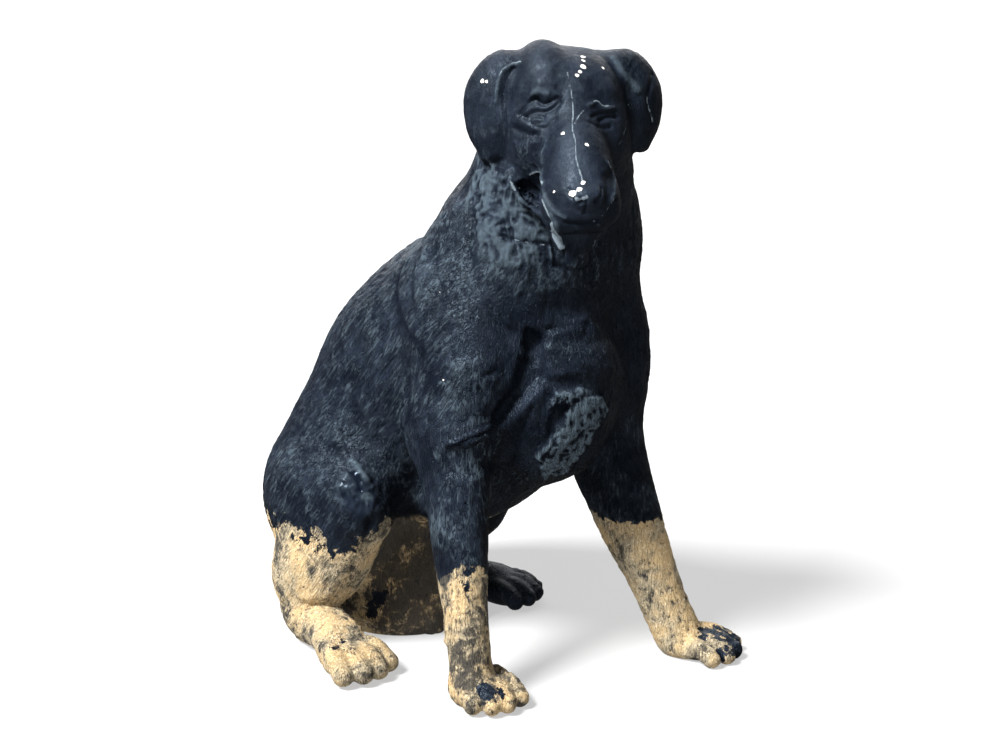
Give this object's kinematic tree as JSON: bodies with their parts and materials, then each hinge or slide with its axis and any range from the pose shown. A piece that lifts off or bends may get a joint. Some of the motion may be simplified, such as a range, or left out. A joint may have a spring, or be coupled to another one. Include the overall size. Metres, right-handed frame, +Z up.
{
  "type": "dog garden statue",
  "caption": "Life-size garden statue of a sitting dog with hanging ears, cast in stone, painted black and worn back to the tan stone on its lower legs and paws.",
  "frame": {"origin": "on the ground, under the middle of the statue's box", "axes": "+Z up, -Y the way the dog's body faces, +X towards the dog's left side"},
  "size_m": [0.4268, 0.5764, 0.7312],
  "materials": {
    "black_paint": "semi-gloss paint"
  },
  "bodies": {
    "root": {"dog": "black_paint"}
  },
  "joints": []
}
